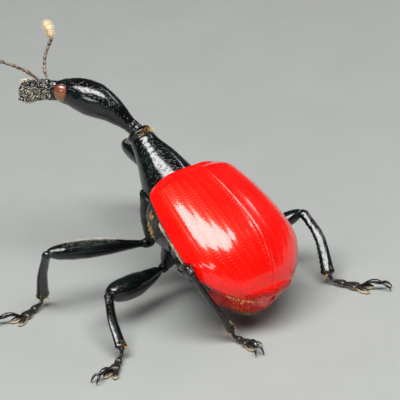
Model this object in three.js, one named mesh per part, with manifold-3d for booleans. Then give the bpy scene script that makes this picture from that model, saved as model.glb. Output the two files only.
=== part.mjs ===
// A female giraffe weevil, 14 mm from rostrum to wing case, standing on level ground.
// Millimetres, +Z up, floor at z = 0. The head looks towards -Y and the animal's left is +X.
import * as THREE from 'three';
import { mergeVertices } from 'three/addons/utils/BufferGeometryUtils.js';
import Module from 'manifold-3d';

const wasm = await Module();
wasm.setup();

const vec = (x, y, z) => new THREE.Vector3(x, y, z);

// Driving dimensions of the whole animal
const seam = 0.12;              // clear gap between two neighbouring pieces
const floorMiddle = [1.215, -5.68]; // middle of the animal's outline on the floor, set on the origin
const caseEnd = vec(0.17, -0.08, 1.62); // rear end of the wing cases, above the floor
const bodyPitch = 34;           // degrees, the body rises towards the head
const bodyRoll = 8.7;           // degrees, the body leans to its right
const caseLength = 5.9;
const caseFront = -0.2;         // front edge of the wing cases, ahead of the shoulders
const caseHalfWidth = 2.62;
const caseHeight = 1.64;        // above the side margin
const caseSkirt = 0.27;         // how far the wing cases turn down below the side margin
const tailSkirt = 0.5;          // the same at the tail, where the rim stands upright
const shellThickness = 0.5;
const shellGap = 0.1;           // between the wing cases and the soft back below them
const bellyDepth = 2.3;         // below the side margin
const waistStation = 2.7;       // thorax ends and abdomen begins, behind the shoulders
const tailStation = 4.6;        // abdomen ends and tail plate begins
const thoraxLength = 3.15;      // prothorax, from the shoulders to the neck
const thoraxPitch = 46.3;       // degrees
const thoraxYaw = 7.0;          // degrees, to the left
const headYaw = 31;             // degrees, to the left
const thinnest = 0.25;          // half thickness of the thinnest limbs

// Directions of the body: forward along the back, to the left, and out of the back
const turn = THREE.MathUtils.degToRad;
const forward = vec(0, -Math.cos(turn(bodyPitch)), Math.sin(turn(bodyPitch)));
const levelLeft = vec(1, 0, 0);
const levelBack = new THREE.Vector3().crossVectors(forward, levelLeft);
const left = levelLeft.clone().multiplyScalar(Math.cos(turn(bodyRoll)))
  .addScaledVector(levelBack, Math.sin(turn(bodyRoll)));
const dorsal = new THREE.Vector3().crossVectors(forward, left).normalize();
const shoulders = caseEnd.clone().addScaledVector(forward, caseLength);

// A place on the body: behind the shoulders, to the left and above the side margin
function onBody(behind, toLeft, above) {
  return shoulders.clone().addScaledVector(forward, -behind)
    .addScaledVector(left, toLeft).addScaledVector(dorsal, above);
}

const bodyBasis = new THREE.Matrix4().makeBasis(left, forward.clone().negate(), dorsal)
  .setPosition(shoulders);

// Directions and places of the head, which turns to the left of the thorax
const headFront = vec(Math.sin(turn(headYaw)), -Math.cos(turn(headYaw)), 0);
const headLeft = vec(Math.cos(turn(headYaw)), Math.sin(turn(headYaw)), 0);
const thoraxStart = onBody(0, 0, -0.95);
const thoraxFront = vec(
  Math.sin(turn(thoraxYaw)) * Math.cos(turn(thoraxPitch)),
  -Math.cos(turn(thoraxYaw)) * Math.cos(turn(thoraxPitch)),
  Math.sin(turn(thoraxPitch)));
const neck = thoraxStart.clone().addScaledVector(thoraxFront, thoraxLength);

function onHead(front, toLeft, above) {
  return neck.clone().addScaledVector(headFront, front)
    .addScaledVector(headLeft, toLeft).add(vec(0, 0, above));
}

// A smooth curve of one value through [place, value] knots
function profile(knots) {
  const slope = (i) => {
    const a = knots[Math.max(i - 1, 0)];
    const b = knots[Math.min(i + 1, knots.length - 1)];
    return (b[1] - a[1]) / (b[0] - a[0]);
  };
  return (t) => {
    if (t <= knots[0][0]) return knots[0][1];
    const last = knots[knots.length - 1];
    if (t >= last[0]) return last[1];
    const i = knots.findIndex((knot) => knot[0] > t) - 1;
    const span = knots[i + 1][0] - knots[i][0];
    const u = (t - knots[i][0]) / span;
    const u2 = u * u;
    const u3 = u2 * u;
    return knots[i][1] * (2 * u3 - 3 * u2 + 1) + slope(i) * span * (u3 - 2 * u2 + u)
      + knots[i + 1][1] * (3 * u2 - 2 * u3) + slope(i + 1) * span * (u3 - u2);
  };
}

function solidOf(geometry) {
  geometry.deleteAttribute('normal');
  geometry.deleteAttribute('uv');
  const welded = mergeVertices(geometry, 1e-4);
  return new wasm.Manifold(new wasm.Mesh({
    numProp: 3,
    vertProperties: welded.attributes.position.array,
    triVerts: welded.index.array,
  }));
}

const join = (solids) => solids.reduce((whole, solid) => whole.add(solid));
const cut = (solid, tools) => tools.reduce((rest, tool) => rest.subtract(tool), solid);

// A round bar bent along a path, from rings of a cylinder; it may be grown all round
function bar({ path, width, height = width, up, sides = 10, rings = 8 }, grow = 0) {
  const geometry = new THREE.CylinderGeometry(1, 1, 1, sides, rings);
  const place = geometry.attributes.position;
  for (let i = 0; i < place.count; i += 1) {
    const t = THREE.MathUtils.clamp(place.getY(i) + 0.5, 0, 1);
    const along = path.getTangentAt(t);
    const side = new THREE.Vector3().crossVectors(along, up).normalize();
    const top = new THREE.Vector3().crossVectors(side, along);
    const end = (t < 1e-6 ? -grow : 0) + (t > 1 - 1e-6 ? grow : 0);
    const point = path.getPointAt(t).addScaledVector(along, end)
      .addScaledVector(side, place.getX(i) * (width(t) + grow))
      .addScaledVector(top, place.getZ(i) * (height(t) + grow));
    place.setXYZ(i, point.x, point.y, point.z);
  }
  return solidOf(geometry);
}

const curve = (points) => new THREE.CatmullRomCurve3(points, false, 'centripetal');

// An egg-shaped body with three half axes
function egg(centre, axes, sizes, grow = 0, sides = 12, rings = 8) {
  const geometry = new THREE.SphereGeometry(1, sides, rings);
  const scaled = axes.map((axis, i) => axis.clone().multiplyScalar(sizes[i] + grow));
  geometry.applyMatrix4(new THREE.Matrix4().makeBasis(...scaled).setPosition(centre));
  return solidOf(geometry);
}

function boxOnBody(from, to) {
  const size = to.map((value, i) => value - from[i]);
  const geometry = new THREE.BoxGeometry(...size);
  geometry.translate(...from.map((value, i) => value + size[i] / 2));
  geometry.applyMatrix4(bodyBasis);
  return solidOf(geometry);
}

// Outlines of the rear body, against the distance behind the shoulders
const caseWidthAt = profile([[caseFront, 1.72], [-0.05, 1.98], [0.12, 2.1], [0.45, 2.2], [1.5, 2.44], [3.0, caseHalfWidth],
  [4.1, 2.55], [5.1, 1.87], [5.65, 1.1], [caseLength, 0.45]]);
const caseHeightAt = profile([[caseFront, 0.78], [0, 0.95], [0.25, 1.17], [1.4, 1.48], [3.0, caseHeight], [4.2, 1.46],
  [5.2, 0.92], [5.7, 0.43], [caseLength, 0.2]]);
const skirtAt = profile([[0, caseSkirt], [3.4, caseSkirt], [4.6, 0.45], [caseLength, tailSkirt]]);
const trunkWidthAt = profile([[0, 1.72], [0.12, 1.94], [0.45, 2.04], [1.5, 2.28], [3.0, 2.46], [4.1, 2.39],
  [5.1, 1.78], [5.65, 1.2], [caseLength, 0.6]]);
const bellyDepthAt = profile([[0, 1.95], [0.6, bellyDepth], [1.3, bellyDepth], [2.0, 2.1], [3.0, 2.05], [4.4, 1.95],
  [5.1, 1.75], [5.5, 1.5], [caseLength, 1.15]]);
// How square a side is below the margin: 1 is round, less stands more upright
const caseRim = profile([[0, 1], [3.0, 1], [4.6, 0.45], [caseLength, 0.45]]);
const trunkRim = profile([[0, 0.5], [1.2, 0.6], [2.0, 0.9], [caseLength, 1]]);

const trunkFront = 0.05;        // front end of the rear body, behind the shoulders
const leastWidth = 0.2;         // of a hull where it closes
const leastHeight = 0.08;

// A lengthwise hull of the rear body with its own height above and depth below the margin
function hull({ from, to, width, above, below, rim = () => 1, sides, rings }) {
  const geometry = new THREE.CylinderGeometry(1, 1, 1, sides, rings);
  const place = geometry.attributes.position;
  for (let i = 0; i < place.count; i += 1) {
    const behind = from + (to - from) * THREE.MathUtils.clamp(place.getY(i) + 0.5, 0, 1);
    const low = place.getZ(i) <= 0;
    const x = place.getX(i);
    const across = low ? Math.sign(x) * Math.abs(x) ** rim(behind) : x;
    const high = low ? below(behind) : above(behind);
    place.setXYZ(i, across * Math.max(width(behind), leastWidth), behind,
      place.getZ(i) * Math.max(high, leastHeight));
  }
  geometry.applyMatrix4(bodyBasis);
  return solidOf(geometry);
}

const caseSides = 26;
const caseRings = 14;
const caseOuter = (grow) => hull({
  from: caseFront - grow, to: caseLength + grow, width: (s) => caseWidthAt(s) + grow,
  above: (s) => caseHeightAt(s) + grow, below: (s) => skirtAt(s) + grow, rim: caseRim,
  sides: caseSides, rings: caseRings,
});
const caseInner = (thickness) => hull({
  from: caseFront + thickness * 0.4, to: caseLength - thickness * 0.6, width: (s) => caseWidthAt(s) - thickness,
  above: (s) => caseHeightAt(s) - thickness, below: () => bellyDepth, rim: caseRim,
  sides: caseSides, rings: caseRings,
});
const wholeShell = caseOuter(0).subtract(caseInner(shellThickness));
const shellRoom = caseOuter(seam).subtract(caseInner(shellThickness + seam));

// The triangular scutellum at the front of the seam between the wing cases
const shieldLength = 0.42;
const shieldHalfWidth = 0.25;
const shieldTip = 0.1;
const shieldShoulder = 0.06;
const shieldRise = 2.5;         // taller than the back, so that only its outline counts
function shield(grow) {
  const outline = new THREE.Shape([
    new THREE.Vector2(-shieldHalfWidth - grow, -shieldLength),
    new THREE.Vector2(shieldHalfWidth + grow, -shieldLength),
    new THREE.Vector2(shieldHalfWidth + grow, shieldShoulder),
    new THREE.Vector2(shieldTip + grow, shieldLength + grow),
    new THREE.Vector2(-shieldTip - grow, shieldLength + grow),
    new THREE.Vector2(-shieldHalfWidth - grow, shieldShoulder),
  ]);
  const geometry = new THREE.ExtrudeGeometry(outline, { depth: shieldRise, bevelEnabled: false });
  geometry.applyMatrix4(bodyBasis);
  return solidOf(geometry);
}
const far = 9;                  // beyond the animal in every direction
const shells = cut(wholeShell, [shield(seam)]);
const scutellum = wholeShell.intersect(shield(0));

// Rear body under the wing cases, parted into thorax, abdomen and tail plate
const trunkSides = 22;
const trunkRings = 12;
const trunk = cut(hull({
  from: trunkFront, to: caseLength, width: trunkWidthAt,
  above: (s) => caseHeightAt(s) - shellGap, below: bellyDepthAt, rim: trunkRim, sides: trunkSides, rings: trunkRings,
}), [shellRoom, boxOnBody([-far, tailStation, -tailSkirt - seam], [far, far, far])]);
const between = (from, to) => boxOnBody([-far, from, -far], [far, to, far]);
const rearThorax = trunk.intersect(between(-1, waistStation));
const abdomen = trunk.intersect(between(waistStation + seam, tailStation));
const tailPlate = trunk.intersect(between(tailStation + seam, far));
const bodyRoom = join([
  caseOuter(seam),
  hull({
    from: trunkFront - seam, to: caseLength + seam, width: (s) => trunkWidthAt(s) + seam, above: () => 0.3,
    below: (s) => bellyDepthAt(s) + seam, rim: trunkRim, sides: trunkSides, rings: trunkRings,
  }),
]);

// Prothorax: a cone that narrows to the neck, with a raised collar at each end
const prothoraxBar = {
  path: curve([onBody(0.35, 0, -1.1), onBody(0, 0, -1.08),
    thoraxStart.clone().addScaledVector(thoraxFront, thoraxLength * 0.55), neck]),
  width: profile([[0, 1.24], [0.1, 1.28], [0.2, 1.22], [0.5, 0.93], [0.8, 0.57], [0.93, 0.52], [1, 0.42]]),
  height: profile([[0, 1.34], [0.1, 1.38], [0.2, 1.29], [0.5, 0.94], [0.8, 0.56], [0.93, 0.5], [1, 0.42]]),
  up: dorsal, sides: 18, rings: 13,
};
const prothorax = bar(prothoraxBar).subtract(bodyRoom);

// Head: thin neck, pear-shaped cranium, and the rostrum that widens to its tip
const headBar = {
  path: curve([onHead(-0.22, 0, -0.2), onHead(0.47, 0, 0.4), onHead(1.02, 0, 0.85), onHead(1.76, 0, 1.21),
    onHead(2.43, 0, 1.4), onHead(3.05, 0, 1.43), onHead(3.94, 0, 1.42), onHead(4.86, 0, 1.24)]),
  width: profile([[0, 0.32], [0.12, 0.31], [0.25, 0.46], [0.42, 0.66], [0.55, 0.6], [0.64, 0.46], [0.72, 0.3],
    [0.85, 0.36], [0.95, 0.44], [1, 0.3]]),
  height: profile([[0, 0.32], [0.12, 0.32], [0.25, 0.5], [0.42, 0.72], [0.55, 0.66], [0.66, 0.5],
    [0.75, 0.43], [0.86, 0.44], [0.95, 0.42], [1, 0.26]]),
  up: vec(0, 0, 1), sides: 16, rings: 22,
};
const upright = vec(0, 0, 1);
const eyeSizes = [0.33, 0.24, 0.37];
const eyePlace = { front: 2.92, aside: 0.33, above: 1.55 };
const eye = (side, grow) => egg(onHead(eyePlace.front, side * eyePlace.aside, eyePlace.above),
  [headFront, headLeft, upright], eyeSizes, grow, 12, 8);
const head = cut(bar(headBar), [bar(prothoraxBar, seam), eye(1, seam), eye(-1, seam)]);
const headRoom = bar(headBar, seam);

// Jaws at the tip of the rostrum
const jaw = (side) => bar({
  path: curve([onHead(4.5, side * 0.2, 1.1), onHead(4.84, side * 0.24, 1.03), onHead(5.0, side * 0.12, 0.98)]),
  width: profile([[0, 0.18], [0.5, 0.16], [1, 0.06]]),
  up: upright, sides: 8, rings: 5,
}).subtract(headRoom);

// Feelers: smooth scape, beaded funicle and long club, each a little apart
const feelers = {
  left: {
    base: onHead(3.72, 0.12, 1.82), elbow: onHead(4.29, 0.55, 2.5),
    bend: onHead(4.79, 0.85, 2.87), neckOfClub: onHead(5.59, 1.2, 3.27), tip: onHead(6.18, 1.5, 3.69),
  },
  right: {
    base: onHead(3.74, -0.24, 1.74), elbow: onHead(4.15, -0.85, 1.9),
    bend: onHead(4.18, -1.2, 2.4), neckOfClub: onHead(3.99, -1.6, 2.99), tip: onHead(4.36, -1.9, 3.57),
  },
};
const beads = 7;
const beadRipple = 0.022;
function feeler({ base, elbow, bend, neckOfClub, tip }) {
  const scape = {
    path: curve([base, base.clone().lerp(elbow, 0.5), elbow]),
    width: profile([[0, 0.24], [0.5, thinnest], [0.9, 0.27], [1, 0.14]]), up: headLeft, sides: 8, rings: 6,
  };
  const funicle = {
    path: curve([elbow.clone().lerp(base, 0.1), elbow.clone().lerp(bend, 0.15), bend, neckOfClub]),
    width: (t) => thinnest - beadRipple * Math.cos(t * beads * 2 * Math.PI),
    up: headLeft, sides: 8, rings: beads * 4,
  };
  const club = {
    path: curve([neckOfClub.clone().lerp(bend, 0.08), neckOfClub.clone().lerp(tip, 0.5), tip]),
    width: profile([[0, 0.16], [0.2, 0.25], [0.6, 0.28], [0.88, 0.2], [1, 0.06]]),
    up: headLeft, sides: 8, rings: 9,
  };
  return {
    scape: bar(scape).subtract(headRoom),
    funicle: cut(bar(funicle), [bar(scape, seam), headRoom]),
    club: bar(club).subtract(bar(funicle, seam)),
  };
}

// Legs: root and hip on the body, knee, ankle, and where the pads and the claws stand on the floor.
// thigh is the femur's greatest half thickness; sag and bow bend the middle of femur and tibia.
const legs = {
  front_left: {
    root: [-0.6, 0.8, -1.25], hip: [0.35, 0.5, -3.42], knee: vec(5.74, -7.21, 3.05),
    ankle: vec(5.39, -8.47, 0.45), pad: [6.75, -8.12], claw: [7.6, -8.6], thigh: 0.36, bow: [0.08, -0.06, 0.02],
  },
  front_right: {
    root: [-0.5, -0.62, -1.0], hip: [-1.68, -1.81, -2.85], knee: vec(-1.81, -11.91, 3.38),
    ankle: vec(-2.83, -11.11, 0.45), pad: [-3.75, -11.5], claw: [-4.5, -11.85], thigh: 0.36, bow: [-0.1, 0.08, 0],
  },
  middle_left: {
    root: [1.35, 0.75, -1.3], hip: [1.58, 0.68, -3.38], knee: vec(4.72, -4.72, 1.74),
    ankle: vec(5.67, -2.77, 0.45), pad: [6.72, -2.04], claw: [7.45, -2.0], thigh: 0.47, sag: 0.14, bow: [0.12, 0, 0.12],
  },
  middle_right: {
    root: [1.35, -0.75, -1.3], hip: [1.58, -0.75, -3.31], knee: vec(-3.1, -6.6, 2.45),
    ankle: vec(-3.75, -7.4, 0.45), pad: [-4.6, -8.0], claw: [-5.15, -8.6], thigh: 0.47, sag: 0.14, bow: [-0.1, 0, 0.1],
  },
  hind_left: {
    root: [2.2, 0.95, -1.2], hip: [2.3, 0.7, -2.6], knee: vec(3.08, -1.41, 3.42),
    ankle: vec(1.81, -0.73, 0.45), pad: [1.62, 0.2], claw: [1.8, 0.85], thigh: 0.33, bow: [0.06, 0.1, 0],
  },
  hind_right: {
    root: [2.2, -0.95, -1.2], hip: [2.3, -0.9, -2.6], knee: vec(-4.25, -3.6, 2.3),
    ankle: vec(-3.68, -1.42, 0.45), pad: [-4.32, -0.08], claw: [-4.97, 0.58], thigh: 0.33, bow: [-0.2, 0, 0.28],
  },
};
const soleHeight = 0.16;        // middle of a pad above the floor, which cuts its sole flat
const padSizes = [0.34, 0.27, 0.26]; // half axes of the three pads
const padPlaces = [0.28, 0.62, 1]; // along the foot from heel to last pad
const lobeSizes = [0.28, 0.2, 0.22]; // half axes of the two lobes of the last pad
const clawHeight = 0.12;
const clawArch = 0.42;          // top of the bent claw joint above the floor

const aboveFloor = new THREE.BoxGeometry(40, 40, 20);
aboveFloor.translate(0, 0, 10);
const overFloor = solidOf(aboveFloor);

function leg({ root, hip, knee, ankle, pad, claw, thigh, sag = 0, bow }) {
  const socket = onBody(...root);
  const joint = onBody(...hip);
  const outward = new THREE.Vector3().subVectors(knee, joint).normalize();
  const coxa = {
    path: curve([socket, socket.clone().lerp(joint, 0.5), joint]),
    width: profile([[0, 0.54], [0.5, 0.48], [0.82, 0.33], [1, 0.2]]),
    up: outward, sides: 10, rings: 5,
  };
  const femur = {
    path: curve([joint.clone().addScaledVector(outward, -0.1),
      joint.clone().lerp(knee, 0.55).add(vec(0, 0, -sag)), knee]),
    width: profile([[0, 0.2], [0.08, 0.27], [0.2, thinnest], [0.38, 0.8 * thigh], [0.56, thigh],
      [0.74, thigh], [0.86, 0.9 * thigh], [0.95, 0.27], [1, 0.19]]),
    up: upright, sides: 9, rings: 10,
  };
  const shinMiddle = knee.clone().lerp(ankle, 0.5).add(vec(...bow));
  const tibia = {
    path: curve([knee.clone().lerp(shinMiddle, -0.06), shinMiddle, ankle]),
    width: profile([[0, 0.2], [0.1, thinnest], [0.6, thinnest], [0.92, 0.29], [1, 0.2]]),
    up: outward, sides: 8, rings: 6,
  };
  const padPlace = vec(pad[0], pad[1], soleHeight);
  const clawPlace = vec(claw[0], claw[1], clawHeight);
  const heel = vec(ankle.x, ankle.y, soleHeight + 0.1).lerp(padPlace, 0.12);
  const along = new THREE.Vector3().subVectors(padPlace, heel).setZ(0).normalize();
  const across = vec(-along.y, along.x, 0);
  const pads = padPlaces.map((t) => egg(heel.clone().lerp(padPlace, t), [along, across, upright],
    padSizes, 0, 8, 4));
  const lobes = [1, -1].map((side) => egg(
    padPlace.clone().addScaledVector(along, 0.1).addScaledVector(across, side * 0.2),
    [along, across, upright], lobeSizes, 0, 7, 4));
  const instep = bar({
    path: curve([vec(ankle.x, ankle.y, ankle.z - 0.05), heel, heel.clone().lerp(padPlace, 0.3)]),
    width: profile([[0, 0.22], [1, 0.2]]), up: across, sides: 7, rings: 3,
  });
  const clawStalk = bar({
    path: curve([padPlace.clone().add(vec(0, 0, 0.02)), padPlace.clone().lerp(clawPlace, 0.45)
      .setZ(clawArch), padPlace.clone().lerp(clawPlace, 0.8).setZ(0.3)]),
    width: profile([[0, 0.14], [0.7, 0.21], [1, 0.16]]), up: across, sides: 7, rings: 5,
  });
  const reach = new THREE.Vector3().subVectors(clawPlace, padPlace).setZ(0).normalize();
  const spread = vec(-reach.y, reach.x, 0);
  const claws = [1, -1].map((side) => bar({
    path: curve([padPlace.clone().lerp(clawPlace, 0.7).setZ(0.3),
      clawPlace.clone().addScaledVector(spread, side * 0.17).setZ(0.26),
      clawPlace.clone().addScaledVector(spread, side * 0.2).addScaledVector(reach, 0.16).setZ(0.08)]),
    width: profile([[0, 0.12], [0.6, 0.1], [1, 0.04]]), up: upright, sides: 5, rings: 4,
  }));
  const spurs = [1, -1].map((side) => bar({
    path: curve([ankle.clone().add(vec(0, 0, 0.24)), ankle.clone().add(vec(0, 0, 0.1))
      .addScaledVector(across, side * 0.22), ankle.clone().add(vec(0, 0, -0.12))
      .addScaledVector(across, side * 0.36)]),
    width: profile([[0, 0.12], [1, 0.04]]), up: along, sides: 5, rings: 3,
  }));
  return {
    coxa: cut(bar(coxa), [bodyRoom, bar(prothoraxBar, seam)]),
    femur: cut(bar(femur), [bar(coxa, seam), bodyRoom]),
    tibia: cut(join([bar(tibia), ...spurs]), [bar(femur, seam)]).intersect(overFloor),
    tarsus: cut(join([instep, ...pads, ...lobes, clawStalk, ...claws]),
      [join([bar(tibia, seam), ...spurs])]).intersect(overFloor),
  };
}

// Finishes as on the living animal
const finish = (color, roughness, metalness = 0) =>
  new THREE.MeshStandardMaterial({ color, roughness, metalness });
const blackShell = () => finish('#0c0d0e', 0.25);
const redShell = () => finish('#c00d0a', 0.22);

function largest(solid) {
  const pieces = solid.decompose();
  return pieces.reduce((best, piece) => (piece.volume() > best.volume() ? piece : best));
}

const animal = new THREE.Group();
animal.position.set(-floorMiddle[0], -floorMiddle[1], 0);

function add(name, solid, material) {
  const { vertProperties, triVerts } = largest(solid).getMesh();
  const geometry = new THREE.BufferGeometry();
  geometry.setAttribute('position', new THREE.BufferAttribute(Float32Array.from(vertProperties), 3));
  geometry.setIndex(Array.from(triVerts));
  geometry.computeVertexNormals();
  const mesh = new THREE.Mesh(geometry, material);
  mesh.name = name;
  animal.add(mesh);
}

add('prothorax', prothorax, blackShell());
add('thorax', rearThorax, blackShell());
add('abdomen', abdomen, blackShell());
add('pygidium', tailPlate, finish('#4a0f0c', 0.4));
add('scutellum', scutellum, blackShell());
add('elytron_left', shells.intersect(boxOnBody([seam / 4, -far, -far], [far, far, far])), redShell());
add('elytron_right', shells.intersect(boxOnBody([-far, -far, -far], [-seam / 4, far, far])), redShell());
add('head', head, blackShell());
for (const [side, sign] of [['left', 1], ['right', -1]]) {
  add(`eye_${side}`, eye(sign, 0), finish('#7a3a16', 0.15));
  add(`mandible_${side}`, jaw(sign), blackShell());
  const { scape, funicle, club } = feeler(feelers[side]);
  add(`antenna_scape_${side}`, scape, finish('#241a14', 0.35));
  add(`antenna_funicle_${side}`, funicle, finish('#2c221a', 0.4));
  add(`antenna_club_${side}`, club, finish('#a5764a', 0.6));
}
for (const [name, sizes] of Object.entries(legs)) {
  const pieces = leg(sizes);
  add(`coxa_${name}`, pieces.coxa, blackShell());
  add(`femur_${name}`, pieces.femur, blackShell());
  add(`tibia_${name}`, pieces.tibia, blackShell());
  add(`tarsus_${name}`, pieces.tarsus, finish('#8a7458', 0.6));
}

export default animal;
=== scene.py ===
# %% [markdown]
# # A giraffe weevil as a museum model
#
# The subject is a beetle only 14 mm long: two red wing cases, a black cone of a
# prothorax, a pear-shaped head on a thin neck and six stilt legs. Everything on it
# is a hard plate or a hard tube, so each piece here is a smooth loft along a
# measured path. A loft was chosen over sculpting because its sizes can be read and
# changed.

import math

import bpy
import numpy as np
from mathutils import Matrix, Quaternion, Vector


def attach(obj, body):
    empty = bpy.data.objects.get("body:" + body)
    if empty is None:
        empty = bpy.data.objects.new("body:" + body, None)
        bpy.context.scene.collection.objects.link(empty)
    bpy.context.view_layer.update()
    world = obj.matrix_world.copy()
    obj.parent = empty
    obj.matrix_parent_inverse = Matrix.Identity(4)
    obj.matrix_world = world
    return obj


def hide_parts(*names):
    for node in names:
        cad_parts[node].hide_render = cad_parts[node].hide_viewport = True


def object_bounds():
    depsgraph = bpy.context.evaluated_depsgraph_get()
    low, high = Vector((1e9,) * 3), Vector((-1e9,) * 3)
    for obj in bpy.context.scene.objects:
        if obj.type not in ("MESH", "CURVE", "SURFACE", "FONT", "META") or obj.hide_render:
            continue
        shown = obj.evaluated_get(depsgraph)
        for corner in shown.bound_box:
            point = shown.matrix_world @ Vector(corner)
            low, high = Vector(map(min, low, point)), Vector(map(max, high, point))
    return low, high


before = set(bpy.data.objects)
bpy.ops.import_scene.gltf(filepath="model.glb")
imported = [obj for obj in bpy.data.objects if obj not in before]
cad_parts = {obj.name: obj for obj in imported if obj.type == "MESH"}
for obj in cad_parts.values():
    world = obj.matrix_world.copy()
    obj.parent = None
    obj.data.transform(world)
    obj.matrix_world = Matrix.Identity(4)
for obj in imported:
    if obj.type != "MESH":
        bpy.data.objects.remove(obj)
cad_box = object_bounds()
cad_size_mm = [round((high - low) * 1000, 2) for low, high in zip(*cad_box)]
print("solid model, mm:", cad_size_mm)

# %% [markdown]
# ## One set of sizes
#
# All sizes below are millimetres in the same frame as the solids: +Z is up, the
# head looks towards -Y and the left side is +X. The body leans, so it has its own
# three directions: forward along the back, left, and out of the back.

# %% Sizes and directions of the body
MM = 0.001
FLOOR_MIDDLE = np.array([1.215, -5.68, 0.0])
CASE_END = np.array([0.17, -0.08, 1.62])
BODY_PITCH = math.radians(34.0)
BODY_ROLL = math.radians(8.7)
CASE_LENGTH = 5.9
CASE_HALF_WIDTH = 2.62
CASE_HEIGHT = 1.64
CASE_SKIRT = 0.27
TAIL_SKIRT = 0.5
BELLY_DEPTH = 2.3
WAIST_STATION = 2.7
TAIL_STATION = 4.6
THORAX_LENGTH = 3.15
THORAX_PITCH = math.radians(46.3)
THORAX_YAW = math.radians(7.0)
HEAD_YAW = math.radians(31.0)
UP = np.array([0.0, 0.0, 1.0])
SIDES = (("left", 1), ("right", -1))


def unit(v):
    return v / np.linalg.norm(v)


forward = np.array([0.0, -math.cos(BODY_PITCH), math.sin(BODY_PITCH)])
level_left = np.array([1.0, 0.0, 0.0])
left = level_left * math.cos(BODY_ROLL) + np.cross(forward, level_left) * math.sin(BODY_ROLL)
dorsal = unit(np.cross(forward, left))
shoulders = CASE_END + CASE_LENGTH * forward


def on_body(behind, to_left, above):
    return shoulders - behind * forward + to_left * left + above * dorsal


thorax_start = on_body(0, 0, -0.95)
thorax_front = np.array([
    math.sin(THORAX_YAW) * math.cos(THORAX_PITCH),
    -math.cos(THORAX_YAW) * math.cos(THORAX_PITCH),
    math.sin(THORAX_PITCH)])
neck = thorax_start + THORAX_LENGTH * thorax_front
head_front = np.array([math.sin(HEAD_YAW), -math.cos(HEAD_YAW), 0.0])
head_left = np.array([math.cos(HEAD_YAW), math.sin(HEAD_YAW), 0.0])


def on_head(front, to_left, above):
    return neck + front * head_front + to_left * head_left + above * UP


print("neck at, mm:", (neck - FLOOR_MIDDLE).round(2))

# %% [markdown]
# ## Curves that describe a limb
#
# A limb is thin at one place and swollen at another. That could be drawn by hand
# as a profile curve, but a few pairs of place and half thickness, joined by a
# smooth interpolation, keep every number readable.

# %% Smooth profiles and routes


def profile(knots):
    x = np.array([k[0] for k in knots], float)
    y = np.array([k[1] for k in knots], float)
    low = np.maximum(np.arange(len(x)) - 1, 0)
    high = np.minimum(np.arange(len(x)) + 1, len(x) - 1)
    slope = (y[high] - y[low]) / (x[high] - x[low])

    def value(t):
        t = np.asarray(t, float)
        i = np.clip(np.searchsorted(x, t, "right") - 1, 0, len(x) - 2)
        span = x[i + 1] - x[i]
        u = np.clip((t - x[i]) / span, 0, 1)
        start = y[i] * (2 * u**3 - 3 * u**2 + 1) + slope[i] * span * (u**3 - 2 * u**2 + u)
        return start + y[i + 1] * (3 * u**2 - 2 * u**3) + slope[i + 1] * span * (u**3 - u**2)

    return value


class Route:
    """A centripetal Catmull-Rom path through points, measured by its own length."""

    def __init__(self, points, steps=60):
        p = [np.asarray(q, float) for q in points]
        p = [2 * p[0] - p[1]] + p + [2 * p[-1] - p[-2]]
        out = []
        for a, b, c, d in zip(p, p[1:], p[2:], p[3:]):
            t = np.cumsum([0] + [np.linalg.norm(v - u) ** 0.5 for u, v in ((a, b), (b, c), (c, d))])
            for s in np.linspace(t[1], t[2], steps, endpoint=False):
                ab = a + (b - a) * (s - t[0]) / (t[1] - t[0])
                bc = b + (c - b) * (s - t[1]) / (t[2] - t[1])
                cd = c + (d - c) * (s - t[2]) / (t[3] - t[2])
                abc = ab + (bc - ab) * (s - t[0]) / (t[2] - t[0])
                bcd = bc + (cd - bc) * (s - t[1]) / (t[3] - t[1])
                out.append(abc + (bcd - abc) * (s - t[1]) / (t[2] - t[1]))
        out.append(p[-2])
        self.points = np.array(out)
        gaps = np.linalg.norm(np.diff(self.points, axis=0), axis=1)
        self.length = gaps.sum()
        self.along = np.concatenate([[0], np.cumsum(gaps)]) / self.length

    def at(self, t):
        t = np.asarray(t, float)
        return np.stack([np.interp(t, self.along, self.points[:, k]) for k in range(3)], -1)

    def direction(self, t):
        t = np.asarray(t, float)
        step = self.at(np.minimum(t + 0.012, 1)) - self.at(np.maximum(t - 0.012, 0))
        return step / np.linalg.norm(step, axis=-1, keepdims=True)


# %% [markdown]
# ## From rings of points to a mesh
#
# The lofted tube is the workhorse. A curve with a bevel could do it too, but rings
# of points allow ridges, pits and flattened soles, and they carry a tidy UV map:
# one axis runs round the limb and the other runs along it.

# %% Mesh helpers
every_piece = []


def soft_noise(points, size, seed=0):
    """Smooth noise between -1 and 1, from a few turned waves of about one size."""
    rng = np.random.default_rng(seed)
    total = np.zeros(points.shape[:-1])
    waves = 9
    for _ in range(waves):
        way = unit(rng.normal(size=3)) * 2 * math.pi / (size * rng.uniform(0.7, 1.5))
        total += np.sin(points @ way + rng.uniform(0, 2 * math.pi))
    return total / (waves * 0.5)


def make_piece(name, verts, faces, finish, replaces=(), uv=None, uv_name="Shape"):
    mesh = bpy.data.meshes.new(name)
    mesh.from_pydata(((verts - FLOOR_MIDDLE) * MM).tolist(), [], faces)
    mesh.update()
    mesh.shade_smooth()
    if uv is not None:
        layer = mesh.uv_layers.new(name=uv_name)
        corners = np.zeros(len(mesh.loops), np.int32)
        mesh.loops.foreach_get("vertex_index", corners)
        layer.data.foreach_set("uv", uv[corners].astype(np.float32).ravel())
    mesh.materials.append(finish)
    piece = bpy.data.objects.new(name, mesh)
    bpy.context.scene.collection.objects.link(piece)
    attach(piece, "root")
    if replaces:
        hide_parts(*replaces)
    every_piece.append(piece)
    return piece


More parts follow.
